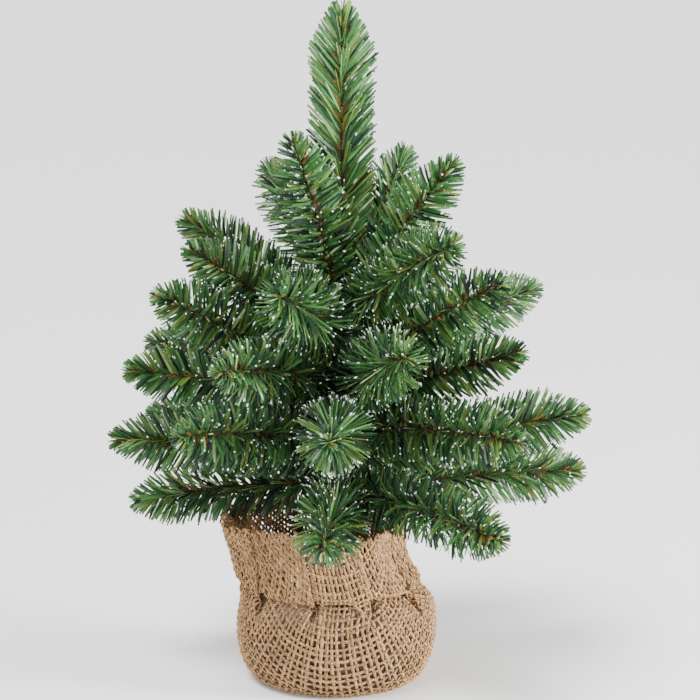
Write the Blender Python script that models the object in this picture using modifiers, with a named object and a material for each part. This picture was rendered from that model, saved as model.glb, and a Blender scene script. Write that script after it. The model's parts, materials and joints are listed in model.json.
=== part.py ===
"""An artificial tabletop tree in a burlap sack.

A cast cement weight in a thin cup stands inside the sack and holds a steel rod. Tape binds the roots of the side
branches to the rod. Each side branch is a twisted-wire stem with needles locked in it, drawn here as one slim sheath,
and it bends at its root about its own hinge. The leader stands upright on top of the rod.

Metres and degrees, +Z up. The origin is on the trunk's axis at the sack's flat underside. The front faces -Y.
"""

import math

import bmesh
import bpy

# Gaps between neighbours
CLEARANCE = 0.0003  # between pieces that touch on the real object
CLOTH_EASE = 0.0005  # between the cup and the cloth drawn round it

# Sack, one cloth
SACK_RADIUS = 0.0515  # at its widest
SACK_WIDEST = 0.026  # height of the widest ring
FOOT_RADIUS = 0.038  # of the flat underside
NECK_RADIUS = 0.042
NECK_HEIGHT = 0.055
NECK_BAND = 0.006  # height of the straight ring that the twine lies on
COLLAR_RADIUS = 0.0455
COLLAR_HEIGHT = 0.029  # above the neck
CLOTH = 0.0015
SACK_CENTRE_X = -0.003
COLLAR_LEAN = 0.009  # how far the collar's rim leans towards -X
NECK_TILT = 0.13  # rise of the neck per metre towards -X, none at the rim
COLLAR_WAVES = 7
WAVE_DEPTH = 0.0012  # of the collar's folds
ROUND_STEPS = 42

# Weight and cup
CUP_HEIGHT = 0.036
CUP_WALL = 0.0012
WEIGHT_BELOW_RIM = 0.003
ROD_SOCKET_FLOOR = 0.006  # cement left under the rod

# Trunk
ROD_RADIUS = 0.002
WRAP_RADIUS = 0.0045
TRUNK_ABOVE_BRANCHES = 0.014
TREE_HEIGHT = 0.348

# Neck twine
TWINE_RADIUS = 0.0012
KNOT_HEADING = 281.0
KNOT_WIDTH = 9.0  # degrees of the neck between the two ends
TWINE_ENDS = (55.0, 38.0)  # how far each end hangs down the shoulder's curve, in degrees

# Branches
STEM_RADIUS = 0.0013
SHEATH_RADIUS = 0.0048
LEADER_RADIUS = 0.0072
DROOP = 12.0  # how far a side branch turns down from root to tip
TAPER = ((0.0, 0.0), (0.07, 0.03), (0.2, 0.12), (0.35, 0.33), (0.5, 0.56), (0.65, 0.8), (0.78, 1.0), (0.88, 1.0),
         (0.95, 0.85), (0.985, 0.6), (1.0, 0.25))  # share of the length, share of the way from stem to full width

# Side branches from the bottom up: height of the root above the collar's rim, heading from +X towards +Y, rise, length
BRANCHES = (
    (0.012, 17, 2, 0.130),
    (0.012, 80, 3, 0.115),
    (0.018, 168, -8, 0.110),
    (0.015, 265, -3, 0.100),
    (0.015, 305, 0, 0.130),
    (0.027, 130, 5, 0.115),
    (0.030, 358, 12, 0.125),
    (0.033, 183, 5, 0.115),
    (0.036, 155, 5, 0.110),
    (0.042, 230, 10, 0.120),
    (0.045, 50, 15, 0.120),
    (0.045, 110, 12, 0.115),
    (0.045, 267, 10, 0.110),
    (0.048, 315, 5, 0.120),
    (0.057, 340, 22, 0.100),
    (0.060, 193, 12, 0.110),
    (0.063, 145, 8, 0.125),
    (0.066, 97, 22, 0.115),
    (0.066, 217, 30, 0.125),
    (0.066, 287, 20, 0.110),
    (0.072, 240, 12, 0.115),
    (0.075, 32, 17, 0.125),
    (0.075, 325, 32, 0.110),
    (0.078, 65, 22, 0.115),
    (0.087, 205, 37, 0.100),
    (0.093, 253, 22, 0.105),
    (0.096, 168, 37, 0.100),
    (0.099, 82, 30, 0.110),
    (0.105, 297, 25, 0.125),
    (0.108, 50, 60, 0.095),
    (0.111, 345, 55, 0.095),
    (0.114, 120, 40, 0.100),
    (0.117, 237, 65, 0.095),
)


def clear_scene():
    for obj in list(bpy.data.objects):
        bpy.data.objects.remove(obj)


def new_collection(name):
    collection = bpy.data.collections.new(name)
    bpy.context.scene.collection.children.link(collection)
    return collection


def plain_material(name, color, roughness, metallic=0.0):
    material = bpy.data.materials.new(name)
    material.use_nodes = True
    shader = material.node_tree.nodes["Principled BSDF"]
    shader.inputs["Base Color"].default_value = (*color, 1.0)
    shader.inputs["Roughness"].default_value = roughness
    shader.inputs["Metallic"].default_value = metallic
    material.diffuse_color = (*color, 1.0)
    return material


def place(name, data, material, tree):
    obj = bpy.data.objects.new(name, data)
    data.materials.append(material)
    tree.objects.link(obj)
    return obj


def arc(centre_r, centre_z, wide, high, start, end, count):
    """Points on an ellipse from the start angle to the end angle, both included."""
    angles = [math.radians(start + (end - start) * i / count) for i in range(count + 1)]
    return [(centre_r + wide * math.cos(a), centre_z + high * math.sin(a)) for a in angles]


def shoulder():
    """The sack from the neck down to its widest ring."""
    top = NECK_HEIGHT - NECK_BAND / 2
    return arc(NECK_RADIUS, SACK_WIDEST, SACK_RADIUS - NECK_RADIUS, top - SACK_WIDEST, 90, 0, 7)


def sack_radius(height):
    """Outer radius of the sack between its widest ring and its neck."""
    top = NECK_HEIGHT - NECK_BAND / 2
    share = min(max((height - SACK_WIDEST) / (top - SACK_WIDEST), 0.0), 1.0)
    return NECK_RADIUS + (SACK_RADIUS - NECK_RADIUS) * math.sqrt(1 - share * share)


def belly(inset):
    """From the widest ring down to the middle of the flat underside, moved inwards by inset."""
    side = arc(FOOT_RADIUS, SACK_WIDEST, SACK_RADIUS - FOOT_RADIUS - inset, SACK_WIDEST - inset, 0, -90, 7)
    return side + [(FOOT_RADIUS * 0.5, inset), (0.0, inset)]


def bowl(inset, top):
    """Outline of a bowl that fills the sack's belly up to a height, with straight sides above the widest ring."""
    rim = sack_radius(CUP_HEIGHT)
    share = (CUP_HEIGHT - top) / (CUP_HEIGHT - SACK_WIDEST)
    return [(rim + (SACK_RADIUS - rim) * share - inset, top)] + belly(inset)


def lean(height):
    """0 up to the cup's rim and 1 at the collar's rim."""
    span = rim_height() - CUP_HEIGHT
    share = min(max((height - CUP_HEIGHT) / span, 0.0), 1.0)
    return share * share * (3 - 2 * share)


def drape(x, y, z):
    """Moves a point on or above the sack's shoulder as the cloth leans and tilts."""
    amount = lean(z)
    tilt = NECK_TILT * 4 * amount * (1 - amount)
    return x - COLLAR_LEAN * amount + SACK_CENTRE_X, y, z - x * tilt


def wave(x, y, z):
    """Folds the collar above the neck band."""
    above = (z - NECK_HEIGHT - NECK_BAND / 2) / COLLAR_HEIGHT
    depth = WAVE_DEPTH * min(max(above * 2, 0.0), 1.0)
    radius = math.hypot(x, y)
    if depth == 0.0 or radius == 0.0:
        return x, y, z
    scale = 1 + depth * math.cos(COLLAR_WAVES * math.atan2(y, x)) / radius
    return x * scale, y * scale, z


def turned_mesh(name, outline):
    """A mesh turned from an outline that runs down its outer side from top to bottom."""
    shape = bmesh.new()
    points = [shape.verts.new((r, 0.0, z)) for r, z in outline]
    edges = [shape.edges.new(pair) for pair in zip(points, points[1:])]
    bmesh.ops.spin(shape, geom=points + edges, cent=(0, 0, 0), axis=(0, 0, 1), angle=math.tau,
                   steps=ROUND_STEPS, use_merge=False, use_duplicate=False)
    bmesh.ops.remove_doubles(shape, verts=shape.verts, dist=1e-6)
    bmesh.ops.recalc_face_normals(shape, faces=shape.faces)
    mesh = bpy.data.meshes.new(name)
    shape.to_mesh(mesh)
    shape.free()
    mesh.shade_smooth()
    mesh.set_sharp_from_angle(angle=math.radians(40))
    return mesh


def thicken(obj, thickness):
    """Adds a wall inside an open surface that faces outwards."""
    shell = obj.modifiers.new("wall", "SOLIDIFY")
    shell.thickness = thickness
    shell.offset = -1.0
    shell.use_even_offset = True


def closed_turn(name, outline, material, tree):
    """A turned solid from an outline in the XZ plane, by a Screw modifier."""
    mesh = bpy.data.meshes.new(name)
    closed = outline[0] == outline[-1]
    points = outline[:-1] if closed else outline
    edges = [(i, i + 1) for i in range(len(points) - 1)]
    if closed:
        edges.append((len(points) - 1, 0))
    mesh.from_pydata([(r, 0.0, z) for r, z in points], edges, [])
    obj = place(name, mesh, material, tree)
    turn = obj.modifiers.new("turn", "SCREW")
    turn.steps = ROUND_STEPS
    turn.render_steps = ROUND_STEPS
    turn.use_merge_vertices = True
    turn.merge_threshold = 0.00001
    return obj


def make_sack(material, tree):
    band = NECK_BAND / 2
    collar = [(COLLAR_RADIUS, rim_height()), (COLLAR_RADIUS, NECK_HEIGHT + COLLAR_HEIGHT * 0.7),
              ((COLLAR_RADIUS + NECK_RADIUS) / 2, NECK_HEIGHT + COLLAR_HEIGHT * 0.35),
              (NECK_RADIUS, NECK_HEIGHT + band)]
    mesh = turned_mesh("burlap_sack", collar + shoulder() + belly(0.0)[1:])
    for vertex in mesh.vertices:
        vertex.co = drape(*wave(*vertex.co))
    obj = place("burlap_sack", mesh, material, tree)
    thicken(obj, CLOTH)


def make_cup(material, tree):
    mesh = turned_mesh("weight_cup", bowl(CLOTH + CLOTH_EASE, CUP_HEIGHT))
    obj = place("weight_cup", mesh, material, tree)
    obj.location.x = SACK_CENTRE_X
    thicken(obj, CUP_WALL)


def rim_height():
    return NECK_HEIGHT + COLLAR_HEIGHT


def trunk_top():
    return rim_height() + max(height for height, *_ in BRANCHES) + TRUNK_ABOVE_BRANCHES


def weight_top():
    return CUP_HEIGHT - WEIGHT_BELOW_RIM


def rod_foot():
    return CLOTH + CLOTH_EASE + CUP_WALL + CLEARANCE + ROD_SOCKET_FLOOR


def make_weight(material, tree):
    """The cement, with the socket that the rod stands in on the trunk's axis."""
    inset = CLOTH + CLOTH_EASE + CUP_WALL + CLEARANCE
    block = closed_turn("cement_weight", [(0.0, weight_top())] + bowl(inset, weight_top()), material, tree)
    block.location.x = SACK_CENTRE_X
    bpy.ops.mesh.primitive_cylinder_add(vertices=16, radius=ROD_RADIUS + CLEARANCE, depth=CUP_HEIGHT,
                                        location=(0, 0, rod_foot() - CLEARANCE + CUP_HEIGHT / 2))
    socket = bpy.context.object
    socket.name = "rod_socket"
    socket.display_type = "WIRE"
    socket.hide_render = True
    cut = block.modifiers.new("rod_socket", "BOOLEAN")
    cut.operation = "DIFFERENCE"
    cut.object = socket
    return socket


def make_rod(material, tree):
    top = trunk_top() - CLEARANCE
    outline = [(0.0, top), (ROD_RADIUS, top), (ROD_RADIUS, rod_foot()), (0.0, rod_foot())]
    rod = closed_turn("trunk_rod", outline, material, tree)
    rod.modifiers["turn"].steps = 16
    rod.modifiers["turn"].render_steps = 16


def make_wrap(material, tree):
    top = trunk_top()
    bottom = weight_top() + CLEARANCE
    inner = ROD_RADIUS + CLEARANCE
    outline = [(inner, top), (WRAP_RADIUS, top), (WRAP_RADIUS, bottom), (inner, bottom), (inner, top)]
    wrap = closed_turn("trunk_wrap", outline, material, tree)
    wrap.modifiers["turn"].steps = 24
    wrap.modifiers["turn"].render_steps = 24


def tube(name, points, radii, sides_level, material, tree):
    """A tube along points, with a radius at each."""
    curve = bpy.data.curves.new(name, "CURVE")
    curve.dimensions = "3D"
    curve.bevel_depth = 1.0
    curve.bevel_resolution = sides_level
    curve.use_fill_caps = True
    spline = curve.splines.new("POLY")
    spline.points.add(len(points) - 1)
    for target, point, radius in zip(spline.points, points, radii):
        target.co = (*point, 1.0)
        target.radius = radius
    return place(name, curve, material, tree)


def twine_point(heading, down):
    """A point on the twine's centreline: round the neck, or hanging over the shoulder by an angle down its curve."""
    off = TWINE_RADIUS + 2 * CLEARANCE
    angle = math.radians(heading)
    radius = NECK_RADIUS + off
    height = NECK_HEIGHT
    if down > 0.0:
        ((radius, height),) = arc(NECK_RADIUS, SACK_WIDEST, SACK_RADIUS - NECK_RADIUS + off,
                                  NECK_HEIGHT - NECK_BAND / 2 - SACK_WIDEST + off, 90 - down, 0, 1)[:1]
    return drape(radius * math.cos(angle), radius * math.sin(angle), height)


def make_twine(material, tree):
    """One turn round the neck, from one hanging end to the other."""
    first = KNOT_HEADING + KNOT_WIDTH / 2
    last = KNOT_HEADING - KNOT_WIDTH / 2 + 360
    start = 10.0
    points = [twine_point(first, TWINE_ENDS[0] + (start - TWINE_ENDS[0]) * i / 5) for i in range(6)]
    turns = 40
    span = last - first - 4
    points += [twine_point(first + 2 + span * i / turns, 0.0) for i in range(turns + 1)]
    points += [twine_point(last, start + (TWINE_ENDS[1] - start) * i / 4) for i in range(5)]
    tube("neck_tie", points, [TWINE_RADIUS] * len(points), 1, material, tree)


def branch_line(length, droop):
    """Centreline points in the XZ plane, from the root along +X, turning down evenly by droop."""
    points = [(0.0, 0.0, 0.0)]
    steps = 40
    shares = [share for share, _ in TAPER]
    x = z = 0.0
    for i in range(steps):
        middle = (i + 0.5) / steps
        angle = math.radians(droop * (0.5 - middle))
        x += length / steps * math.cos(angle)
        z += length / steps * math.sin(angle)
        points.append((x, 0.0, z))
    return [points[round(share * steps)] for share in shares]


def sheath_radii(full):
    return [STEM_RADIUS + (full - STEM_RADIUS) * share for _, share in TAPER]


def make_branches(material, tree):
    """Each side branch turns about its own Y axis, which lies at its root beside the trunk."""
    root = WRAP_RADIUS + CLEARANCE + STEM_RADIUS
    for number, (height, heading, rise, length) in enumerate(BRANCHES, start=1):
        name = f"branch_{number:02d}"
        branch = tube(name, branch_line(length, DROOP), sheath_radii(SHEATH_RADIUS), 2, material, tree)
        angle = math.radians(heading)
        branch.location = (root * math.cos(angle), root * math.sin(angle), rim_height() + height)
        branch.rotation_euler = (0.0, -math.radians(rise), angle)


def make_leader(material, tree):
    foot = trunk_top() + CLEARANCE
    line = branch_line(TREE_HEIGHT - foot, 0.0)
    leader = tube("leader", line, sheath_radii(LEADER_RADIUS), 2, material, tree)
    leader.location = (0.0, 0.0, foot)
    leader.rotation_euler = (0.0, -math.pi / 2, 0.0)


def build():
    clear_scene()
    tree = new_collection("artificial_tabletop_tree")
    cutters = new_collection("cutters")
    jute = plain_material("jute", (0.42, 0.27, 0.15), 0.95)
    twine = plain_material("twine", (0.36, 0.23, 0.12), 0.95)
    cup = plain_material("cup", (0.05, 0.05, 0.05), 0.5)
    cement = plain_material("cement", (0.42, 0.41, 0.39), 0.9)
    steel = plain_material("steel", (0.5, 0.5, 0.5), 0.35, 1.0)
    tape = plain_material("tape", (0.02, 0.08, 0.03), 0.6)
    needles = plain_material("needles", (0.03, 0.16, 0.06), 0.5)
    make_sack(jute, tree)
    make_cup(cup, tree)
    socket = make_weight(cement, tree)
    for home in list(socket.users_collection):
        home.objects.unlink(socket)
    cutters.objects.link(socket)
    make_rod(steel, tree)
    make_wrap(tape, tree)
    make_twine(twine, tree)
    make_leader(needles, tree)
    make_branches(needles, tree)


build()
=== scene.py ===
"""An artificial tabletop tree in a burlap sack: frosted PVC needle branches, woven jute and twine."""

import json
import math

import bpy
import numpy as np
from mathutils import Matrix, Vector


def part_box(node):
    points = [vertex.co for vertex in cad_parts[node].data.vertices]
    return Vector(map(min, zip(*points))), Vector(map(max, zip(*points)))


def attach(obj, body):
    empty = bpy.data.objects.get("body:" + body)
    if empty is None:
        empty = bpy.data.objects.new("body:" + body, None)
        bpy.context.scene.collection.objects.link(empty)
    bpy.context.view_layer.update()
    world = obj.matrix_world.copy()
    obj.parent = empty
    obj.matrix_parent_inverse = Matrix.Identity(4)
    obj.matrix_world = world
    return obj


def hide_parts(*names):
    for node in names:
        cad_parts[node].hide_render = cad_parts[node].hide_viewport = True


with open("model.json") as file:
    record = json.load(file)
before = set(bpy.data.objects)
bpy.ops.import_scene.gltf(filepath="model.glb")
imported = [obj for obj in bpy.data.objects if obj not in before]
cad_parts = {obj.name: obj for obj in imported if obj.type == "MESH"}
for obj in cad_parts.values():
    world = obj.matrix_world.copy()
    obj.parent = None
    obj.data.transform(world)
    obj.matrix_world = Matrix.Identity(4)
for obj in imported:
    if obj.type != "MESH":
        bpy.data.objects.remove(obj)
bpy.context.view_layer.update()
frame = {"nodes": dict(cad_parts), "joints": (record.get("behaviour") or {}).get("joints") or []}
rng = np.random.default_rng(34)

# Needle branches
NEEDLE_LENGTH = 0.0188
LEADER_NEEDLE = 0.0232
NEEDLE_WIDTH = 0.0013
NEEDLE_THICKNESS = 0.00028
NEEDLE_STEP = 0.00135  # between cuts in the film
FILM_LAYERS = 3
FILM_TURN = 0.0090  # length of stem in which the film goes round once
FLATTENING = 0.25  # how far packing has pressed the sideways needles up and down
LEADER_FLATTENING = 0.62
TAPER = 0.026  # how far from its tip a branch begins to narrow
LEADER_TAPER = 0.031
LEADER_BROWN = 1.25  # how much longer the brown needles are on the leader
NEEDLE_SWEEP = 66.0  # degrees between a needle and the stem
LEADER_SWEEP = 46.0
TIP_BEYOND_STEM = 0.0060  # needle ends past the end of the stem
FIRST_NEEDLE = 0.0025  # from the root to the first needle
BROWN_LENGTH = 0.0062
BROWN_START = 0.004
BROWN_TURN = 0.0150  # length of stem in which the brown film goes round once
BROWN_PER_METRE = 1500
BROWN_WIDTH = 0.0013
WIRE_RADIUS = 0.00055
WIRE_TURN = 0.0042
STEM_DROOP = 12.0
WIRE_COLOR = (0.022, 0.020, 0.014)
FROST_SHADE = 0.88
SPRAY_FROM = (0.0, -0.85, 0.53)  # the side that the frost was sprayed from
PAINTED_TOP_LIGHT = 0.45  # painted light: how much brighter the needles of the highest branches are painted, as if more light falls on them from above
PAINTED_LIGHT_START = 1.75  # tip height where that begins, in spans
PAINTED_LIGHT_SPAN = 0.12

# Burlap, one cloth gathered up round the weight
YARN_PITCH = 0.00355
YARN_HALF_WIDTH = 0.00080
YARN_HALF_HEIGHT = 0.00054
YARN_SIDES = 5
YARN_LEAST = 0.00035  # half width where yarns crowd together
SACK_RADIUS = 0.0515
SACK_WIDEST = 0.026
FOOT_RADIUS = 0.038
NECK_RADIUS = 0.042
NECK_HEIGHT = 0.055
NECK_BAND = 0.006
CUP_HEIGHT = 0.036
SACK_CENTRE_X = -0.003
COLLAR_LEAN = 0.009
NECK_TILT = 0.13
COLLAR_FLARE = 0.0022  # how far the collar stands out on the left
COLLAR_TUCK = (0.0026, 0.0022, -0.0028)  # how far it is drawn in on the right: neck, over it, rim
COLLAR_SAG = 0.0052  # how far it hangs over the neck at the front left
SAG_HEADING = math.radians(236.0)
COLLAR_LIFT = 0.0022  # how far it stands up at the right
LIFT_HEADING = math.radians(350.0)
SAG_OUT = 0.42  # how far the hanging part stands out, for each part that it hangs
FOLD_CLOTH = (0.0085, 0.0045)  # cloth hidden in one fold at the neck, and what the collar adds
YARN_SHIFT = 0.07  # how unevenly the yarns are spaced
YARN_WAVER = 0.10
FUZZ_START = 0.10  # share of the cloth, from its middle, that has no loose hairs
CLOTH_MIDDLE = 0.00075  # from the cloth's outer face to its middle
PLEATS = (20.0, 62.0, 105.0, 148.0, 188.0, 222.0, 256.0, 289.0, 329.0)  # headings of the folds under the neck
MIRRORED = (329, 20)  # those that lie the other way round
PLEAT_LAYER = 0.0021  # between the layers of a fold
HIDDEN_BASE = 0.039  # the cloth under the weight, where a yarn needs fewer points
PLEAT_START = 0.078  # distance from the cloth's middle where the folds begin
TWINE_RADIUS = 0.0012
TAPE_PITCH = 0.0072
TWINE_TURN = 0.0042  # length in which the plies go round once
TWINE_SHADE = 0.95
KNOT_HEADING = 281.0
KNOT_GAP = 4.5  # degrees from the knot to each end of the turn
FIBRES = 2200
HAIR_COLOR = (0.62, 0.44, 0.27)

# How thickly the frost lies on each side branch, 1 to 33
FROST = (0.30, 0.25, 0.30, 0.75, 0.35, 0.25, 0.30, 0.30, 0.50, 0.60, 0.25, 0.25, 0.80, 0.60, 0.40, 0.45, 0.35,
         0.25, 0.40, 0.80, 0.60, 0.40, 0.45, 0.25, 0.35, 0.80, 0.30, 0.25, 0.60, 0.35, 0.25, 0.30, 0.40)
LEADER_FROST = 0.16

# Side branches whose needles packing has left standing wide: how much longer they look, and their sweep
WIDE = {4: (1.12, 70.0), 13: (1.10, 70.0), 20: (1.08, 68.0), 26: (1.16, 70.0)}


# ---------------------------------------------------------------- shader writing

class Socket:
    """Wraps a node's output, so that shader maths is written as Python expressions."""

    def __init__(self, maker, link):
        self.maker = maker
        self.link = link

    def __add__(self, other):
        return self.maker.maths("ADD", self, other)

    def __radd__(self, other):
        return self.maker.maths("ADD", other, self)

    def __sub__(self, other):
        return self.maker.maths("SUBTRACT", self, other)

    def __rsub__(self, other):
        return self.maker.maths("SUBTRACT", other, self)

    def __mul__(self, other):
        return self.maker.maths("MULTIPLY", self, other)

    def __rmul__(self, other):
        return self.maker.maths("MULTIPLY", other, self)

    def __truediv__(self, other):
        return self.maker.maths("DIVIDE", self, other)


class Finish:
    """One material and the nodes in it."""

    def __init__(self, name):
        self.material = bpy.data.materials.new(name)
        self.material.use_nodes = True
        self.tree = self.material.node_tree
        self.shader = self.tree.nodes["Principled BSDF"]

    def node(self, kind, settings, *values, out=0, **named):
        made = self.tree.nodes.new(kind)
        for key, value in settings.items():
            setattr(made, key, value)
        for key, value in list(enumerate(values)) + list(named.items()):
            self.put(made.inputs[key], value)
        return Socket(self, made.outputs[out])

    def put(self, socket, value):
        if isinstance(value, Socket):
            self.tree.links.new(value.link, socket)
        elif value is not None:
            socket.default_value = value

    def set(self, name, value):
        self.put(self.shader.inputs[name], value)

    def maths(self, operation, *values):
        return self.node("ShaderNodeMath", {"operation": operation}, *values)

    def object_place(self):
        return self.node("ShaderNodeTexCoord", {}, out=3)

    def noise(self, scale, detail=2.0, place=None, roughness=0.5):
        place = place or self.object_place()
        return self.node("ShaderNodeTexNoise", {}, Vector=place, Scale=scale, Detail=detail,
                         Roughness=roughness)

    def mix(self, share, one, two):
        """Between two colours."""
        made = self.tree.nodes.new("ShaderNodeMix")
        made.data_type = "RGBA"
        for index, value in ((0, share), (6, one), (7, two)):
            if isinstance(value, tuple):
                value = (*value, 1.0)
            self.put(made.inputs[index], value)
        return Socket(self, made.outputs[2])

    def shade(self, color, amount):
        """A colour made lighter or darker by a number."""
        made = self.tree.nodes.new("ShaderNodeVectorMath")
        made.operation = "SCALE"
        self.put(made.inputs[0], color if isinstance(color, Socket) else tuple(color))
        self.put(made.inputs[3], amount)
        return Socket(self, made.outputs[0])

    def range(self, value, low, high, to_low=0.0, to_high=1.0):
        return self.node("ShaderNodeMapRange", {}, value, low, high, to_low, to_high)

    def bump(self, height, strength, distance):
        bump = self.node("ShaderNodeBump", {}, Strength=strength, Distance=distance, Height=height)
        self.set("Normal", bump)


# ---------------------------------------------------------------- mesh helpers

def clear_selection():
    bpy.ops.object.select_all(action="DESELECT")


def take_mesh(obj):
    """Corners and faces of a piece, which is then removed."""
    mesh = obj.data
    corners = np.empty(len(mesh.vertices) * 3)
    mesh.vertices.foreach_get("co", corners)
    faces = [tuple(face.vertices) for face in mesh.polygons]
    bpy.data.objects.remove(obj)
    bpy.data.meshes.remove(mesh)
    return corners.reshape(-1, 3), faces


def scatter(shape, places, turns, sizes):
    """Copies of a shape: turns holds each copy's three axes as rows, sizes its three scales."""
    corners, faces = shape
    scaled = corners[None, :, :] * sizes[:, None, :]
    moved = np.einsum("nvk,nkj->nvj", scaled, turns) + places[:, None, :]
    count = len(corners)
    joined = [tuple(corner + count * i for corner in face) for i in range(len(places)) for face in faces]
    return moved.reshape(-1, 3), joined


def joined_piece(name, groups, finishes, smooth=()):
    """One piece from several groups of corners, faces and a colour for each corner."""
    corners, faces, tints, slots, rounds = [], [], [], [], []
    base = 0
    for index, (group_corners, group_faces, group_tints) in enumerate(groups):
        corners.append(group_corners)
        faces += [tuple(corner + base for corner in face) for face in group_faces]
        tints.append(group_tints)
        slots += [index] * len(group_faces)
        rounds += [index in smooth] * len(group_faces)
        base += len(group_corners)
    mesh = bpy.data.meshes.new(name)
    mesh.from_pydata(np.concatenate(corners).tolist(), [], faces)
    mesh.polygons.foreach_set("material_index", slots)
    mesh.polygons.foreach_set("use_smooth", rounds)
    colors = np.concatenate(tints)
    layer = mesh.attributes.new("tint", "FLOAT_COLOR", "POINT")
    layer.data.foreach_set("color", np.concatenate([colors, np.ones((len(colors), 1))], axis=1).ravel())
    for finish in finishes:
        mesh.materials.append(finish)
    mesh.update()
    obj = bpy.data.objects.new(name, mesh)
    bpy.context.scene.collection.objects.link(obj)
    return obj


def unit(vectors):
    return vectors / np.linalg.norm(vectors, axis=-1, keepdims=True)


# ---------------------------------------------------------------- needles

def one_needle():
    """A cut strip of film, 1 long, 1 wide and 1 thick, with a blunt end; place_needles gives the green
    needles their slight curve.
    """
    clear_selection()
    bpy.ops.mesh.primitive_cube_add(size=1.0, location=(0.5, 0.0, 0.0))
    needle = bpy.context.object
    bpy.ops.object.mode_set(mode="EDIT")
    bpy.ops.mesh.select_all(action="SELECT")
    bpy.ops.mesh.bisect(plane_co=(0.3, 0.0, 0.0), plane_no=(1.0, 0.0, 0.0))
    bpy.ops.mesh.select_all(action="SELECT")
    bpy.ops.mesh.bisect(plane_co=(0.68, 0.0, 0.0), plane_no=(1.0, 0.0, 0.0))
    bpy.ops.object.mode_set(mode="OBJECT")
    bpy.ops.object.transform_apply(location=True, rotation=True, scale=True)
    for vertex in needle.data.vertices:
        if vertex.co.x < 0.1:
            vertex.co.y *= 0.55
        elif vertex.co.x > 0.9:
            vertex.co.y *= 0.62
    return take_mesh(needle)


def one_fleck():
    """A grain of frost, about 1 across, a little uneven."""
    clear_selection()
    bpy.ops.mesh.primitive_ico_sphere_add(subdivisions=1, radius=0.5, location=(0.0, 0.0, 0.0))
    corners, faces = take_mesh(bpy.context.object)
    return corners * (0.82 + 0.36 * rng.random((len(corners), 1))), faces


def stem_points(length, droop, steps=60):
    """The stem's centreline in the XZ plane, turning down from root to tip as the frame's own branch does."""
    shares = (np.arange(steps) + 0.5) / steps
    angles = np.radians(droop * (0.5 - shares))
    hops = np.stack([np.cos(angles), np.zeros(steps), np.sin(angles)], axis=1) * length / steps
    return np.concatenate([np.zeros((1, 3)), np.cumsum(hops, axis=0)])


def along(points, distance):
    """Places and directions at distances along a line of evenly spaced points."""
    step = np.linalg.norm(points[1] - points[0])
    marks = np.arange(len(points)) * step
    place = np.stack([np.interp(distance, marks, points[:, k]) for k in range(3)], axis=1)
    slopes = np.gradient(points, step, axis=0)
    way = np.stack([np.interp(distance, marks, slopes[:, k]) for k in range(3)], axis=1)
    return place, unit(way)


def side_axes(way):
    """Two directions square to each stem direction."""
    across = np.tile(np.array([0.0, 1.0, 0.0]), (len(way), 1))
    up = unit(np.cross(way, across))
    return across, up


GREENS = np.array([(0.036, 0.112, 0.030), (0.076, 0.186, 0.054), (0.016, 0.050, 0.020), (0.118, 0.180, 0.030),
                   (0.010, 0.022, 0.021), (0.230, 0.330, 0.130)])
GREEN_SHARES = (0.34, 0.24, 0.17, 0.10, 0.11, 0.04)


def place_needles(shape, points, length, longest, sweep, flat, taper):
    """Green needles on both sides of the twisted film, shorter and closer to the stem towards its tip."""
    marks = np.arange(FIRST_NEEDLE, length, NEEDLE_STEP)
    distance, angle = [], []
    for layer in range(FILM_LAYERS):
        start = rng.random() * math.tau
        for side in (0.0, math.pi):
            at = marks + NEEDLE_STEP * (layer / FILM_LAYERS + rng.normal(0.0, 0.12, len(marks)))
            distance.append(at)
            angle.append(math.tau * at / FILM_TURN + start + side + rng.normal(0.0, 0.24, len(marks)))
    distance = np.clip(np.concatenate(distance), 0.0, length)
    angle = np.concatenate(angle)
    angle = np.arctan2(np.sin(angle), np.cos(angle) * (1 - flat))
    count = len(angle)
    place, way = along(points, distance)
    across, up = side_axes(way)
    out = across * np.cos(angle)[:, None] + up * np.sin(angle)[:, None]
    to_tip = length - distance
    reach = np.clip(to_tip / taper, 0.0, 1.0)
    root = np.clip(distance / 0.02, 0.0, 1.0)
    size = longest * (0.34 + 0.66 * reach ** 0.75) * (0.75 + 0.25 * root) * (0.94 + 0.10 * rng.random(count))
    lean = np.radians(sweep * (0.48 + 0.52 * reach ** 0.7) + rng.normal(0.0, 2.4, count))
    ahead = unit(way * np.cos(lean)[:, None] + out * np.sin(lean)[:, None])
    bend = unit(way - ahead * np.sum(way * ahead, axis=1, keepdims=True))
    roll = math.pi / 2 + rng.normal(0.0, 0.42, count)
    edge = np.cross(ahead, bend)
    wide = edge * np.cos(roll)[:, None] + bend * np.sin(roll)[:, None]
    turns = np.stack([ahead, wide, np.cross(ahead, wide)], axis=1)
    sizes = np.stack([size, NEEDLE_WIDTH * (0.8 + 0.4 * rng.random(count)),
                      np.full(count, NEEDLE_THICKNESS)], axis=1)
    corners, faces = scatter(shape, place, turns, sizes)
    each = len(shape[0])
    share = np.tile(shape[0][:, 0], count)
    curl = np.repeat(bend * (size * rng.normal(0.03, 0.03, count))[:, None], each, axis=0)
    corners = corners + curl * (share ** 2)[:, None]
    pick = rng.choice(len(GREENS), size=count, p=GREEN_SHARES)
    tints = GREENS[pick] * (0.72 + 0.5 * rng.random(count))[:, None]
    # painted shade: needles darker near the stem's root and lighter towards its tip, for the shade deeper
    # inside the branch
    tints = tints * (0.86 + 0.36 * distance / length)[:, None]
    ends = place + ahead * size[:, None] + curl[::each]
    return (corners, faces, np.repeat(tints, each, axis=0)), ends, ahead, turns, out, size


BROWNS = np.array([(0.150, 0.070, 0.018), (0.066, 0.032, 0.012), (0.260, 0.155, 0.034)])


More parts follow.
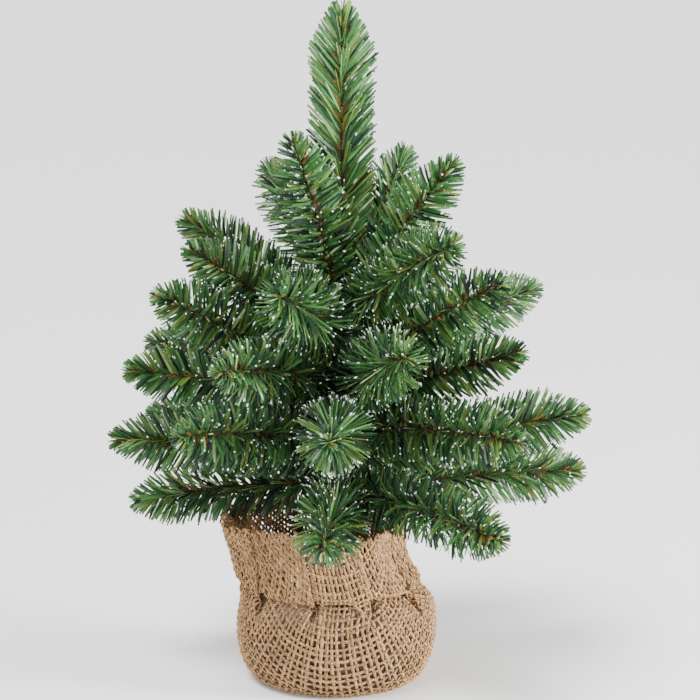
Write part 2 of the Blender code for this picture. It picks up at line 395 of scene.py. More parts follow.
def place_brown(shape, points, length, count, longer):
    """Short brown needles in a double turn round the stem, paler and smaller at its tip."""
    steps = (np.arange(count) + rng.random(count)) / count
    distance = BROWN_START + (length - BROWN_START) * steps
    place, way = along(points, distance)
    across, up = side_axes(way)
    angle = math.tau * distance / BROWN_TURN + rng.integers(0, 2, count) * math.pi
    angle = angle + rng.normal(0.0, 0.42, count)
    out = across * np.cos(angle)[:, None] + up * np.sin(angle)[:, None]
    inward = np.clip((length - distance) / 0.008, 0.0, 1.0)
    lean = np.radians(20 + 20 * inward + rng.normal(0.0, 6.0, count))
    ahead = unit(way * np.cos(lean)[:, None] + out * np.sin(lean)[:, None])
    roll = math.pi / 2 + rng.normal(0.0, 0.45, count)
    flat = unit(np.cross(ahead, out + 0.001))
    wide = flat * np.cos(roll)[:, None] + np.cross(ahead, flat) * np.sin(roll)[:, None]
    turns = np.stack([ahead, wide, np.cross(ahead, wide)], axis=1)
    size = BROWN_LENGTH * longer * (0.7 + 0.5 * rng.random(count)) * (0.7 + 0.3 * inward)
    sizes = np.stack([size, np.full(count, BROWN_WIDTH), np.full(count, NEEDLE_THICKNESS)], axis=1)
    corners, faces = scatter(shape, place, turns, sizes)
    tints = BROWNS[rng.choice(3, size=count, p=(0.5, 0.3, 0.2))] * (0.6 + 0.8 * rng.random(count))[:, None]
    tints = tints * (1.0 + 0.5 * (1 - inward))[:, None]
    return corners, faces, np.repeat(tints, len(shape[0]), axis=0)


def place_frost(shape, ends, ahead, turns, out, size, amount, front):
    """Patches of frost: grains on needle ends, most where the spray reached, and dashes along the needles."""
    toward = out @ front
    chance = 0.8 * amount * np.clip(0.62 + 0.5 * toward, 0.15, 1.0)
    chance = chance * np.clip(size / size.max() * 1.6 - 0.5, 0.15, 1.0)
    patches = sum(np.sin(ends @ rng.normal(0.0, 260.0, 3) + rng.random() * math.tau) for _ in range(3))
    chance = chance * np.clip(0.85 + 0.62 * patches, 0.12, 2.2)
    groups = []
    for dash in (False, True):
        on = rng.random(len(ends)) < (chance * 0.60 if dash else chance)
        count = int(on.sum())
        spread = rng.random((count, 3))
        if dash:
            long = 0.0016 + 0.0024 * spread[:, 0] ** 2
            wide = 0.0005 + 0.0003 * spread[:, 1]
            back = (size[on] * (0.05 + 0.5 * spread[:, 2]))
        else:
            long = 0.0010 + 0.0015 * spread[:, 0] ** 1.5
            wide = 0.0006 + 0.0006 * spread[:, 1] ** 2
            back = long * 0.3
        place = ends[on] - ahead[on] * back[:, None] + turns[on][:, 1] * (spread[:, 2:] - 0.5) * 0.0006
        corners, faces = scatter(shape, place, turns[on], np.stack([long, wide, wide * 0.75], axis=1))
        groups.append((corners, faces))
    first, second = groups
    corners = np.concatenate([first[0], second[0]])
    faces = first[1] + [tuple(corner + len(first[0]) for corner in face) for face in second[1]]
    return corners, faces, np.full((len(corners), 3), FROST_SHADE)


def twisted_wires(points, length):
    """The two wires of a stem, wound round each other."""
    sides, rings = 6, max(int(length / WIRE_TURN * 8), 12)
    distance = np.linspace(0.0, length, rings)
    place, way = along(points, distance)
    across, up = side_axes(way)
    corners, faces = [], []
    for half in (0.0, math.pi):
        angle = math.tau * distance / WIRE_TURN + half
        out = across * np.cos(angle)[:, None] + up * np.sin(angle)[:, None]
        centre = place + out * WIRE_RADIUS
        base = len(corners) * rings * sides
        ring = []
        for k in range(sides):
            turn = math.tau * k / sides
            ring.append(centre + WIRE_RADIUS * (across * math.cos(turn) + up * math.sin(turn)))
        corners.append(np.stack(ring, axis=1).reshape(-1, 3))
        for i in range(rings - 1):
            for k in range(sides):
                a, b = base + i * sides + k, base + i * sides + (k + 1) % sides
                faces.append((a, b, b + sides, a + sides))
        faces.append(tuple(base + k for k in reversed(range(sides))))
        faces.append(tuple(base + (rings - 1) * sides + k for k in range(sides)))
    joined = np.concatenate(corners)
    return joined, faces, np.tile(np.array(WIRE_COLOR), (len(joined), 1))


def film_finish():
    """Soft PVC film, its colour from each needle, with a satin shine."""
    finish = Finish("pvc_needles")
    tint = finish.node("ShaderNodeAttribute", {"attribute_name": "tint"})
    cloud = finish.noise(420.0, 2.0)
    finish.set("Base Color", finish.shade(tint, finish.range(cloud, 0.3, 0.7, 0.78, 1.22)))
    finish.set("Roughness", finish.range(cloud, 0.3, 0.7, 0.34, 0.46))
    finish.set("Specular IOR Level", 0.45)
    return finish.material


def brown_finish():
    finish = Finish("brown_film")
    tint = finish.node("ShaderNodeAttribute", {"attribute_name": "tint"})
    cloud = finish.noise(500.0, 2.0)
    finish.set("Base Color", finish.shade(tint, finish.range(cloud, 0.3, 0.7, 0.75, 1.2)))
    finish.set("Roughness", 0.5)
    return finish.material


def frost_finish():
    finish = Finish("frost")
    cloud = finish.noise(900.0, 3.0)
    finish.set("Base Color", finish.mix(cloud, (0.72, 0.75, 0.76), (0.95, 0.96, 0.97)))
    finish.set("Roughness", 0.75)
    finish.bump(cloud, 0.4, 0.0004)
    return finish.material


def wire_finish():
    finish = Finish("dark_wire")
    cloud = finish.noise(700.0, 2.0)
    finish.set("Base Color", finish.mix(cloud, (0.012, 0.014, 0.010), (0.050, 0.036, 0.018)))
    finish.set("Roughness", 0.45)
    finish.set("Metallic", 0.3)
    return finish.material


def local_tip(node, root):
    """The far end of a branch's CAD sheath, from its root."""
    mesh = frame["nodes"][node].data
    corners = np.empty(len(mesh.vertices) * 3)
    mesh.vertices.foreach_get("co", corners)
    corners = corners.reshape(-1, 3) - root
    far = np.linalg.norm(corners, axis=1)
    return corners[far > far.max() - 0.0006].mean(axis=0)


def make_branch(node, body, root, heading, rise, length, droop, frost, shapes, finishes, longest,
                sweep=NEEDLE_SWEEP, flat=FLATTENING, taper=TAPER, brown_size=1.0):
    """A branch's green and brown needles, frost and wires, as one piece on its body."""
    needle, fleck = shapes
    length -= TIP_BEYOND_STEM
    points = stem_points(length, droop)
    turn = Matrix.Rotation(heading, 3, "Z") @ Matrix.Rotation(-rise, 3, "Y")
    axes = np.array(turn)
    front = np.array(SPRAY_FROM) @ axes
    green, ends, ahead, turns, out, size = place_needles(needle, points, length, longest, sweep, flat, taper)
    # painted light: the needles of the highest branches are made brighter, as if more light falls on them
    # from above
    tip_height = (points[-1] @ axes.T + root)[2]
    painted_light = 1.0 + PAINTED_TOP_LIGHT * smooth_step(tip_height / PAINTED_LIGHT_SPAN - PAINTED_LIGHT_START)
    green = green[0], green[1], green[2] * painted_light
    brown = place_brown(needle, points, length, int(BROWN_PER_METRE * length), brown_size)
    white = place_frost(fleck, ends, ahead, turns, out, size, frost, front)
    wires = twisted_wires(points, length)
    groups = []
    for corners, faces, tints in (green, brown, white, wires):
        groups.append((corners @ axes.T + root, faces, tints))
    piece = joined_piece(f"{node}_needles", groups, finishes, smooth=(2, 3))
    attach(piece, body)
    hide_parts(node)
    return piece


def make_branches():
    shapes = one_needle(), one_fleck()
    finishes = film_finish(), brown_finish(), frost_finish(), wire_finish()
    bends = {joint["child"]: joint for joint in frame["joints"]}
    for number in range(1, 34):
        name = f"branch_{number:02d}"
        root = np.array(bends[name]["pos_m"])
        tip = local_tip(name, root)
        length = np.linalg.norm(tip)
        heading = math.atan2(tip[1], tip[0])
        rise = math.asin(tip[2] / length)
        stretch, sweep = WIDE.get(number, (1.0, NEEDLE_SWEEP))
        make_branch(name, name, root, heading, rise, length, STEM_DROOP, FROST[number - 1], shapes, finishes,
                    NEEDLE_LENGTH * stretch, sweep)
    low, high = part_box("leader")
    foot = np.array([0.0, 0.0, low[2]])
    make_branch("leader", "base", foot, 0.0, math.pi / 2, high[2] - low[2], 0.0, LEADER_FROST, shapes,
                finishes, LEADER_NEEDLE, LEADER_SWEEP, LEADER_FLATTENING, LEADER_TAPER, LEADER_BROWN)


# ---------------------------------------------------------------- burlap sack

def smooth_step(value):
    share = np.clip(value, 0.0, 1.0)
    return share * share * (3 - 2 * share)


def rim_height():
    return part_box("burlap_sack")[1].z


def quarter(centre_r, centre_z, wide, high, start, end, steps=24):
    """Part of an ellipse, as radius and height."""
    angles = np.radians(np.linspace(start, end, steps + 1))
    return np.stack([centre_r + wide * np.cos(angles), centre_z + high * np.sin(angles)], axis=1)


def cloth_outline():
    """The cloth's middle, as radius and height, from the centre of the base up to the rim."""
    inset = CLOTH_MIDDLE
    shoulder_top = NECK_HEIGHT - NECK_BAND / 2
    rim = rim_height()
    base = np.array([[0.0, inset], [FOOT_RADIUS, inset]])
    belly = quarter(FOOT_RADIUS, SACK_WIDEST, SACK_RADIUS - FOOT_RADIUS - inset, SACK_WIDEST - inset, -90, 0)
    shoulder = quarter(NECK_RADIUS - inset, SACK_WIDEST, SACK_RADIUS - NECK_RADIUS,
                       shoulder_top - SACK_WIDEST, 0, 90)
    neck = NECK_RADIUS - inset
    collar = NECK_HEIGHT + np.array([(0.0, 0.0005), (0.0004, 0.0022), (0.0020, 0.0030), (0.0042, 0.0024),
                                     (0.0054, 0.0006), (0.0062, -0.0004), (0.0072, 0.0006),
                                     (0.0074, 0.0030), (0.0070, 0.0070), (0.0060, 0.0130)])
    collar[:, 0] += neck - NECK_HEIGHT
    mouth = np.array([(neck + 0.0050, rim - 0.0060), (neck + 0.0054, rim)])
    collar = np.concatenate([collar, mouth])
    corners = np.concatenate([base, belly[1:], shoulder[1:], collar])
    steps = np.concatenate([[0.0], np.cumsum(np.linalg.norm(np.diff(corners, axis=0), axis=1))])
    return corners, steps


OUTLINE, OUTLINE_STEPS = cloth_outline()
CLOTH_RADIUS = OUTLINE_STEPS[-1]
LIP_START = OUTLINE_STEPS[-10]  # where the collar leaves the neck


def fold_widths(rho):
    """Cloth hidden in one mean fold, in metres, at a distance from the cloth's middle."""
    at_neck, in_collar = FOLD_CLOTH
    return at_neck * smooth_step((rho - PLEAT_START) / 0.022) + in_collar * smooth_step((rho - 0.100) / 0.03)


def gather(rho, angle):
    """Heading round the sack and depth under its face, for a place on the flat cloth.

    Each fold has three layers: the cloth turns back under its own edge and then goes on. Folds on the right
    lie the other way round, so that every fold's open edge faces the front.
    """
    turn = math.tau
    start = math.radians(PLEATS[0])
    going = np.mod(angle - start, turn)
    heads = [math.radians(p) - start for p in PLEATS[1:]] + [turn]
    mean_gap = turn / len(heads)
    width = fold_widths(rho) / np.maximum(rho, 0.001)
    layer = PLEAT_LAYER * np.clip(fold_widths(rho) / 0.004, 0.0, 1.0)
    layer = layer * (1 - 0.72 * smooth_step((rho - 0.106) / 0.012))
    hidden = np.zeros_like(going)
    depth = np.zeros_like(going)
    total = np.zeros_like(going)
    before = 0.0
    for head in heads:
        half = width * (head - before) / mean_gap
        total = total + 2 * half
        middle = head - (2 * half if head == turn else half)
        past = going - middle
        hidden = hidden + 2 * np.clip(past, 0.0, half)
        mirrored = round(math.degrees(head + start)) % 360 in MIRRORED
        near = (half - past if mirrored else past) * rho
        wide = half * rho
        depth = depth + layer * (smooth_step((near + 0.0008) / 0.0016)
                                 + smooth_step((near - wide + 0.0008) / 0.0016)
                                 - 2 * smooth_step((near - 2 * wide) / 0.008))
        lip = np.exp(-(np.minimum(near, 0.0) / 0.005) ** 2) * (near < 0.0008)
        depth = depth - 0.7 * layer * lip
        before = head
    return (going - hidden) * turn / (turn - total) + start, depth


def spread(heading, rho):
    """Draws the cloth together on some sides and leaves it open on others."""
    amount = smooth_step((rho - 0.030) / 0.035)
    return (heading + amount * (0.17 * np.sin(heading - math.radians(283.0))
                                + 0.060 * np.sin(3 * heading + 1.1) + 0.030 * np.sin(5 * heading + 0.4)))


def cloth_point(x, y):
    """Where a point of the flat cloth lies on the sack, and the direction out of the sack there."""
    rho = np.hypot(x, y)
    heading, depth = gather(rho, np.arctan2(y, x))
    heading = spread(heading, rho)
    radius = np.interp(rho, OUTLINE_STEPS, OUTLINE[:, 0])
    height = np.interp(rho, OUTLINE_STEPS, OUTLINE[:, 1])
    step = 0.0016
    inner = np.minimum(rho, CLOTH_RADIUS - step)
    run, climb = (np.interp(inner + step, OUTLINE_STEPS, OUTLINE[:, k])
                  - np.interp(inner - step, OUTLINE_STEPS, OUTLINE[:, k]) for k in (0, 1))
    size = np.maximum(np.hypot(run, climb), 1e-9)
    out_r, out_z = climb / size, -run / size
    beyond = np.maximum(rho - CLOTH_RADIUS, 0.0)
    above = smooth_step((height - NECK_HEIGHT) / 0.016)
    body = smooth_step((rho - FOOT_RADIUS) / 0.03) * (1 - above)
    radius = radius + above * (0.0011 * np.cos(7 * heading + 0.6) + 0.0009 * np.sin(4 * heading))
    radius = radius + body * (0.0004 + 0.0007 * np.cos(5 * heading + 2.0 + 40 * rho))
    flare = smooth_step((height - 0.062) / 0.018) * np.clip(-np.cos(heading - 0.2), 0.0, 1.0)
    radius = radius + COLLAR_FLARE * flare
    tucked = smooth_step((rho - LIP_START) / 0.004) * np.clip(np.cos(heading + 0.10), 0.0, 1.0) ** 1.5
    at_neck, over_neck, at_rim = COLLAR_TUCK
    radius = radius - tucked * (at_neck + over_neck * smooth_step((height - 0.058) / 0.006)
                                + at_rim * smooth_step((height - 0.070) / 0.014))
    radius = radius - depth * np.maximum(out_r, 0.3) + beyond * 0.4
    height = height - depth * out_z + beyond * 0.9
    height = height + above * 0.0016 * np.sin(3 * heading + 0.8) * smooth_step((height - 0.07) / 0.014)
    roll = smooth_step((rho - LIP_START) / 0.006) * (1 - smooth_step((height - 0.059) / 0.020))
    drop = roll * (COLLAR_SAG * np.clip(np.cos(heading - SAG_HEADING), 0.0, 1.0) ** 1.5
                   - COLLAR_LIFT * np.clip(np.cos(heading - LIFT_HEADING), 0.0, 1.0))
    height = height - drop
    radius = radius + SAG_OUT * np.maximum(drop, 0.0)
    px, py = radius * np.cos(heading), radius * np.sin(heading)
    lean = smooth_step((height - CUP_HEIGHT) / (rim_height() - CUP_HEIGHT))
    tilt = NECK_TILT * 4 * lean * (1 - lean)
    place = np.stack([px - COLLAR_LEAN * lean + SACK_CENTRE_X, py, height - px * tilt], axis=-1)
    out = np.stack([out_r * np.cos(heading), out_r * np.sin(heading), out_z], axis=-1)
    return place, unit(out)


def yarn_rings(x, y, along_x, over):
    """Centre, width and height directions of a yarn at each of its points."""
    place, out = cloth_point(x, y)
    step = 0.0003
    one = (cloth_point(x + step, y)[0] - cloth_point(x - step, y)[0]) / (2 * step)
    two = (cloth_point(x, y + step)[0] - cloth_point(x, y - step)[0]) / (2 * step)
    run, cross = (one, two) if along_x else (two, one)
    way = unit(run)
    side = unit(np.cross(out, way))
    room = YARN_PITCH * np.abs(np.sum(cross * side, axis=1))
    return place + out * (over * YARN_HALF_HEIGHT)[:, None], out, side, room


def weave():
    """Every yarn of the cloth, over one and under the next."""
    half = int(CLOTH_RADIUS / YARN_PITCH) + 1
    corners, faces, tints, strands = [], [], [], []
    base = 0
    turns = np.arange(YARN_SIDES) / YARN_SIDES * math.tau + math.pi / 2
    for along_x in (True, False):
        for line in range(-half, half + 1):
            across = YARN_PITCH * (line + YARN_SHIFT * rng.normal())
            reach2 = CLOTH_RADIUS ** 2 - across ** 2
            if reach2 < (2 * YARN_PITCH) ** 2:
                continue
            reach = math.sqrt(reach2)
            last = int(reach / YARN_PITCH * 2)
            ends = last + rng.integers(0, 3, 2)
            marks = np.arange(-ends[0], ends[1] + 1)
            run = marks * YARN_PITCH / 2
            shown = (marks % 2 == 0) | (np.hypot(run, across) > HIDDEN_BASE)
            marks, run = marks[shown], run[shown]
            waver = YARN_WAVER * YARN_PITCH * np.sin(run / 0.021 + rng.random() * 6.3)
            fixed = across + waver
            parity = np.where(marks % 2 == 0, np.where((marks // 2 + line) % 2 == 0, 1.0, -1.0), 0.0)
            over = parity if along_x else -parity
            x, y = (run, fixed) if along_x else (fixed, run)
            centre, out, side, room = yarn_rings(x, y, along_x, over)
            slub = 1.0 + 0.16 * np.sin(run / 0.013 + rng.random() * 6.3) + 0.10 * rng.normal(size=len(run))
            wide = np.minimum(YARN_HALF_WIDTH * slub, room * 0.46)
            wide = np.maximum(wide, YARN_LEAST)
            high = YARN_HALF_HEIGHT * np.sqrt(slub) * (1.0 + 0.35 * (1 - wide / YARN_HALF_WIDTH / slub))
            ring = (centre[:, None, :]
                    + side[:, None, :] * (np.cos(turns)[None, :] * wide[:, None])[..., None]
                    + out[:, None, :] * (np.sin(turns)[None, :] * high[:, None])[..., None])
            count = len(run)
            corners.append(ring.reshape(-1, 3))
            shade = 0.74 + 0.46 * rng.random() + 0.10 * np.sin(run / 0.009 + rng.random() * 6.3)
            tints.append(np.repeat(shade, YARN_SIDES))
            k = np.arange(YARN_SIDES)
            following = (k + 1) % YARN_SIDES
            rows = base + np.arange(count - 1)[:, None] * YARN_SIDES
            above = rows + YARN_SIDES
            quads = np.stack([rows + k, rows + following, above + following, above + k], axis=-1)
            faces += [tuple(quad) for quad in quads.reshape(-1, 4).tolist()]
            u = (run + 0.2) / YARN_PITCH
            low_u, high_u = u[:-1, None] + 0 * k, u[1:, None] + 0 * k
            low_v, high_v = 0 * low_u + k / YARN_SIDES, 0 * low_u + (k + 1) / YARN_SIDES
            corner_uvs = [low_u, low_v, low_u, high_v, high_u, high_v, high_u, low_v]
            strands.append(np.stack(corner_uvs, axis=-1).ravel())
            faces.append(tuple(int(base + s) for s in reversed(range(YARN_SIDES))))
            faces.append(tuple(int(base + (count - 1) * YARN_SIDES + s) for s in range(YARN_SIDES)))
            strands.append(np.zeros(4 * YARN_SIDES))
            base += count * YARN_SIDES
    corners = np.concatenate(corners)
    corners[:, 2] = np.maximum(corners[:, 2], 0.0)  # pressed flat where the sack stands
    return strand_piece("burlap_weave", corners, faces, np.concatenate(tints), np.concatenate(strands))


def recalculate_normals(obj):
    clear_selection()
    bpy.context.view_layer.objects.active = obj
    obj.select_set(True)
    bpy.ops.object.mode_set(mode="EDIT")
    bpy.ops.mesh.select_all(action="SELECT")
    bpy.ops.mesh.normals_make_consistent(inside=False)
    bpy.ops.object.mode_set(mode="OBJECT")


def strand_piece(name, corners, faces, shades, strands):
    """A piece of yarn, with a shade for each corner and places along and round the strand for its faces."""
    mesh = bpy.data.meshes.new(name)
    mesh.from_pydata(corners.tolist(), [], faces)
    mesh.polygons.foreach_set("use_smooth", [True] * len(faces))
    mesh.attributes.new("shade", "FLOAT", "POINT").data.foreach_set("value", shades)
    mesh.uv_layers.new(name="strand").data.foreach_set("uv", strands)
    mesh.update()
    obj = bpy.data.objects.new(name, mesh)
    bpy.context.scene.collection.objects.link(obj)
    recalculate_normals(obj)
    return obj


def jute_finish(name, dark, light):
    """Jute yarn: fine slanting fibres along the strand, and yarns that differ in shade."""
    finish = Finish(name)
    shade = finish.node("ShaderNodeAttribute", {"attribute_name": "shade"}, out=2)
    strand = finish.node("ShaderNodeUVMap", {"uv_map": "strand"})
    parts = finish.tree.nodes.new("ShaderNodeSeparateXYZ")
    finish.put(parts.inputs[0], strand)
    run, round_it = Socket(finish, parts.outputs[0]), Socket(finish, parts.outputs[1])
    fibre = finish.maths("SINE", (run * 1.6 + round_it) * (2 * math.tau))
    fine = finish.noise(1500.0, 3.0, roughness=0.65)
    cloud = finish.noise(160.0, 3.0)
    mixed = finish.mix(finish.range(fine, 0.38, 0.62), dark, light)
    grain = finish.range(fibre, -1.0, 1.0, 0.74, 1.12)
    finish.set("Base Color", finish.shade(mixed, shade * grain * finish.range(cloud, 0.3, 0.7, 0.84, 1.14)))
    finish.set("Roughness", 0.92)
    finish.set("Specular IOR Level", 0.25)
    finish.bump(fibre * 0.5 + fine, 0.55, 0.0005)
    return finish.material


def make_sack():
    sack = weave()
    sack.data.materials.append(jute_finish("burlap", (0.200, 0.110, 0.044), (0.660, 0.398, 0.192)))
    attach(sack, "base")
    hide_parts("burlap_sack")
    fuzz = loose_fibres()
    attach(fuzz, "base")


def one_fibre():
    """A stiff hair, 1 long and 1 thick, bowed in the middle and thin at its end."""
    clear_selection()
    bpy.ops.mesh.primitive_cone_add(vertices=3, radius1=0.5, radius2=0.25, depth=1.0,
                                    location=(0.0, 0.0, 0.5))
    bpy.ops.object.mode_set(mode="EDIT")
    bpy.ops.mesh.select_all(action="SELECT")
    bpy.ops.mesh.bisect(plane_co=(0.0, 0.0, 0.5), plane_no=(0.0, 0.0, 1.0))
    bpy.ops.object.mode_set(mode="OBJECT")
    bpy.ops.object.transform_apply(location=True, rotation=True, scale=True)
    corners, faces = take_mesh(bpy.context.object)
    corners = corners[:, [2, 0, 1]]
    corners[:, 1] += 1.5 * (1 - (2 * corners[:, 0] - 1) ** 2)
    return corners, faces


def loose_fibres():
    """Hairs that stand off the burlap."""
    count = FIBRES
    rho = CLOTH_RADIUS * np.sqrt(FUZZ_START + 0.89 * rng.random(count))
    angle = rng.random(count) * math.tau
    place, out = cloth_point(rho * np.cos(angle), rho * np.sin(angle))
    loose = unit(rng.normal(size=(count, 3)))
    ahead = unit(out * (0.35 + 0.5 * rng.random((count, 1))) + loose)
    ahead = np.where((np.sum(ahead * out, axis=1) < 0.1)[:, None], unit(ahead + 0.7 * out), ahead)
    wide = unit(np.cross(ahead, loose[::-1]))
    turns = np.stack([ahead, wide, np.cross(ahead, wide)], axis=1)
    long = 0.0018 + 0.0038 * rng.random(count) ** 2
    thick = 0.00010 + 0.00008 * rng.random(count)
    sizes = np.stack([long, thick, thick], axis=1)
    corners, faces = scatter(one_fibre(), place + out * YARN_HALF_HEIGHT, turns, sizes)
    corners[:, 2] = np.maximum(corners[:, 2], 0.0)
    tint = np.array([HAIR_COLOR]) * (0.6 + 0.7 * rng.random((count, 1)))
    finish = Finish("jute_hair")
    color = finish.node("ShaderNodeAttribute", {"attribute_name": "tint"})
    cloud = finish.noise(800.0)
    finish.set("Base Color", finish.shade(color, finish.range(cloud, 0.3, 0.7, 0.8, 1.2)))
    finish.set("Roughness", 0.8)
    fuzz = joined_piece("burlap_fuzz", [(corners, faces, np.repeat(tint, len(corners) // count, axis=0))],
                        [finish.material])
    recalculate_normals(fuzz)
    return fuzz


# ---------------------------------------------------------------- neck twine

def drape(x, y, z):
    """Leans and tilts a point of the neck, as the frame does."""
    lean = float(smooth_step((z - CUP_HEIGHT) / (rim_height() - CUP_HEIGHT)))
    return x - COLLAR_LEAN * lean + SACK_CENTRE_X, y, z - x * NECK_TILT * 4 * lean * (1 - lean)


def twine_point(heading, down):
    """On the twine's route, round the neck or down over the shoulder."""
    off = TWINE_RADIUS + 0.0006
    angle = math.radians(heading)
    radius, height = NECK_RADIUS + off, NECK_HEIGHT
    if down > 0.0:
        bend = math.radians(90 - down)
        radius = NECK_RADIUS + (SACK_RADIUS - NECK_RADIUS + off) * math.cos(bend)
        height = SACK_WIDEST + (NECK_HEIGHT - NECK_BAND / 2 - SACK_WIDEST + off) * math.sin(bend)
    return drape(radius * math.cos(angle), radius * math.sin(angle), height)


def twisted_cord(name, points, radius, turn, plies=3, sides=6):
    """A laid twine along a route: its plies wound round each other."""
    points = np.array(points)
    marks = np.concatenate([[0.0], np.cumsum(np.linalg.norm(np.diff(points, axis=0), axis=1))])
    distance = np.linspace(0.0, marks[-1], int(marks[-1] / turn * 9))
    place = np.stack([np.interp(distance, marks, points[:, k]) for k in range(3)], axis=1)
    way = unit(np.gradient(place, axis=0))
    up = np.tile(np.array([0.0, 0.0, 1.0]), (len(way), 1))
    across = unit(np.cross(way, up + 0.01))
    up = np.cross(across, way)
    ply = radius * 0.54
    corners, faces, strands = [], [], []
    for number in range(plies):
        angle = math.tau * (distance / turn + number / plies)
        centre = place + (across * np.cos(angle)[:, None] + up * np.sin(angle)[:, None]) * (radius - ply)
        turns = np.arange(sides) / sides * math.tau
        ring = (centre[:, None, :] + ply * (across[:, None, :] * np.cos(turns)[None, :, None]
                                            + up[:, None, :] * np.sin(turns)[None, :, None]))
        base = len(corners) * ring.shape[0] * sides
        corners.append(ring.reshape(-1, 3))
        for i in range(len(distance) - 1):
            for k in range(sides):
                a, b = base + i * sides + k, base + i * sides + (k + 1) % sides
                faces.append((a, b, b + sides, a + sides))
                u, v = distance[i] / YARN_PITCH, distance[i + 1] / YARN_PITCH
                strands += [u, k / sides, u, (k + 1) / sides, v, (k + 1) / sides, v, k / sides]
        last = base + (len(distance) - 1) * sides
        faces.append(tuple(base + k for k in reversed(range(sides))))
        faces.append(tuple(last + k for k in range(sides)))
        strands += [0.0] * (4 * sides)
    corners = np.concatenate(corners)
    return strand_piece(name, corners, faces, np.full(len(corners), TWINE_SHADE), strands)


def make_twine():
    first, last = KNOT_HEADING + KNOT_GAP, KNOT_HEADING + 360 - KNOT_GAP
    route = [twine_point(first + 1.5 * math.sin(i), 46.0 - 4.0 * i) for i in range(10)]
    route += [twine_point(first + 2 + (last - first - 4) * i / 90, 0.0) for i in range(91)]
    route += [twine_point(last + math.sin(i), 10.0 + 5.0 * i) for i in range(3)]
    twine = twisted_cord("neck_twine", route, TWINE_RADIUS * 0.9, TWINE_TURN)
    twine.data.materials.append(jute_finish("jute_twine", (0.300, 0.170, 0.080), (0.700, 0.460, 0.260)))
    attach(twine, "base")
    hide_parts("neck_tie")


# ---------------------------------------------------------------- CAD pieces that keep their shape

def dress(node, finish):
    for slot in frame["nodes"][node].material_slots:
        slot.material = finish


def plain_finish(name, dark, light, scale, roughness, metallic=0.0):
    finish = Finish(name)
    cloud = finish.noise(scale, 4.0)
    finish.set("Base Color", finish.mix(cloud, dark, light))
    finish.set("Roughness", roughness)
    finish.set("Metallic", metallic)
    finish.bump(cloud, 0.3, 0.0005)
    return finish.material


def tape_finish():
    """Green tape wound up the trunk, each turn lapping the one below, with painted shade along each lap's
    step.
    """
    finish = Finish("tape")
    x, y, z = (finish.node("ShaderNodeSeparateXYZ", {}, finish.object_place(), out=k) for k in range(3))
    turn = finish.maths("ARCTAN2", y, x) / math.tau
    lap = finish.maths("FRACT", z / TAPE_PITCH - turn)
    cloud = finish.noise(260.0, 3.0)
    green = finish.mix(cloud, (0.010, 0.034, 0.014), (0.032, 0.078, 0.034))
    # painted shade: a narrow darker band at the step where one turn laps the next
    finish.set("Base Color", finish.shade(green, finish.range(lap, 0.0, 0.16, 0.35, 1.0)))
    finish.set("Roughness", finish.range(cloud, 0.3, 0.7, 0.5, 0.7))
    finish.bump(lap + cloud * 0.25, 0.9, 0.0005)
    return finish.material


# ---------------------------------------------------------------- floor, light and camera

WORLD_STRENGTH = 0.62
AREA_LIGHTS = (("front", (0.9, -1.5, 0.6), (0.0, 0.0, 0.12), 0.6, 6.0),  # name, place, aim, size, power
               ("right", (1.5, -0.45, 0.40), (0.0, 0.0, 0.08), 0.5, 62.0))
OVERHEAD_STRENGTH = 5.2
OVERHEAD_SPREAD = math.radians(28.0)
OVERHEAD_FROM = (-0.30, -0.42, 1.0)
FLOOR_SIZE = 50.0
FLOOR_GLOW = 0.16
FLOOR_DROP = 0.0002  # below the sack, so that the two never share a plane
CAMERA_TARGET = (0.0041, 0.0, 0.172)
CAMERA_RISE = math.radians(10.0)
CAMERA_DISTANCE = 1.3
LENS = 130.9
SENSOR = 36.0


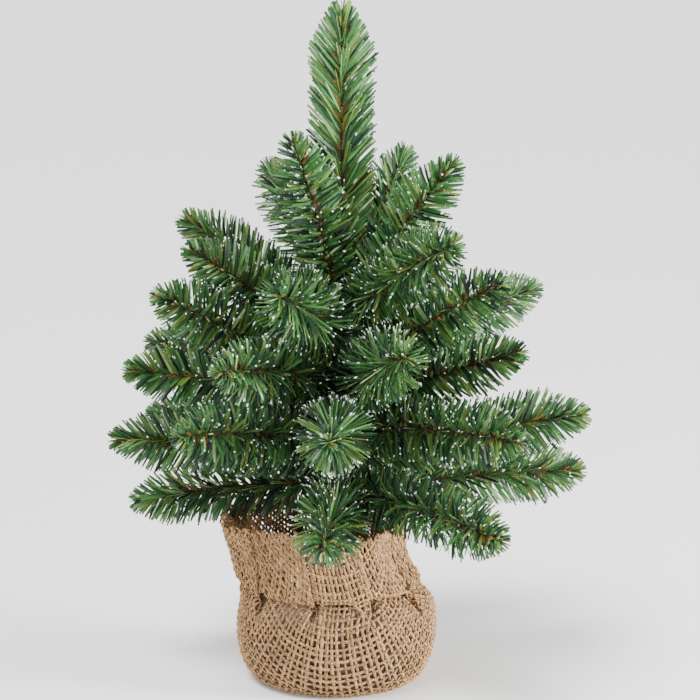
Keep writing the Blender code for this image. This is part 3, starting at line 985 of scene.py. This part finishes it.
def make_stage():
    clear_selection()
    bpy.ops.mesh.primitive_plane_add(size=FLOOR_SIZE, location=(0.0, 0.0, -FLOOR_DROP))
    floor = bpy.context.object
    floor.name = "floor"
    white = Finish("pale_floor")
    white.set("Base Color", (0.93, 0.93, 0.93, 1.0))
    white.set("Roughness", 0.9)
    white.set("Emission Color", (1.0, 1.0, 1.0, 1.0))
    white.set("Emission Strength", FLOOR_GLOW)
    floor.data.materials.append(white.material)


def area_light(name, place, aim, size, power):
    data = bpy.data.lights.new(name, "AREA")
    data.shape = "DISK"
    data.size = size
    data.energy = power
    lamp = bpy.data.objects.new(name, data)
    lamp.location = place
    lamp.rotation_euler = (Vector(aim) - Vector(place)).to_track_quat("-Z", "Y").to_euler()
    bpy.context.scene.collection.objects.link(lamp)


def make_light():
    world = bpy.data.worlds.new("studio")
    world.use_nodes = True
    background = world.node_tree.nodes["Background"]
    background.inputs["Color"].default_value = (1.0, 1.0, 1.0, 1.0)
    background.inputs["Strength"].default_value = WORLD_STRENGTH
    bpy.context.scene.world = world
    for light in AREA_LIGHTS:
        area_light(*light)
    sun = bpy.data.lights.new("overhead", "SUN")
    sun.energy = OVERHEAD_STRENGTH
    sun.angle = OVERHEAD_SPREAD
    lamp = bpy.data.objects.new("overhead", sun)
    lamp.rotation_euler = Vector(OVERHEAD_FROM).to_track_quat("Z", "Y").to_euler()
    bpy.context.scene.collection.objects.link(lamp)


def make_camera():
    data = bpy.data.cameras.new("camera")
    data.sensor_width = SENSOR
    data.lens = LENS
    camera = bpy.data.objects.new("camera", data)
    target = Vector(CAMERA_TARGET)
    toward = Vector((0.0, -math.cos(CAMERA_RISE), math.sin(CAMERA_RISE)))
    place = target + toward * CAMERA_DISTANCE
    camera.location = place
    camera.rotation_euler = (target - place).to_track_quat("-Z", "Y").to_euler()
    bpy.context.scene.collection.objects.link(camera)
    bpy.context.scene.camera = camera


make_camera()
make_light()
make_stage()
make_branches()
make_sack()
make_twine()
dress("weight_cup", plain_finish("cup", (0.062, 0.042, 0.022), (0.100, 0.070, 0.040), 200.0, 0.9))
dress("cement_weight", plain_finish("cement", (0.34, 0.33, 0.31), (0.46, 0.45, 0.43), 250.0, 0.9))
dress("trunk_rod", plain_finish("steel", (0.42, 0.42, 0.42), (0.55, 0.55, 0.55), 200.0, 0.35, 1.0))
dress("trunk_wrap", tape_finish())
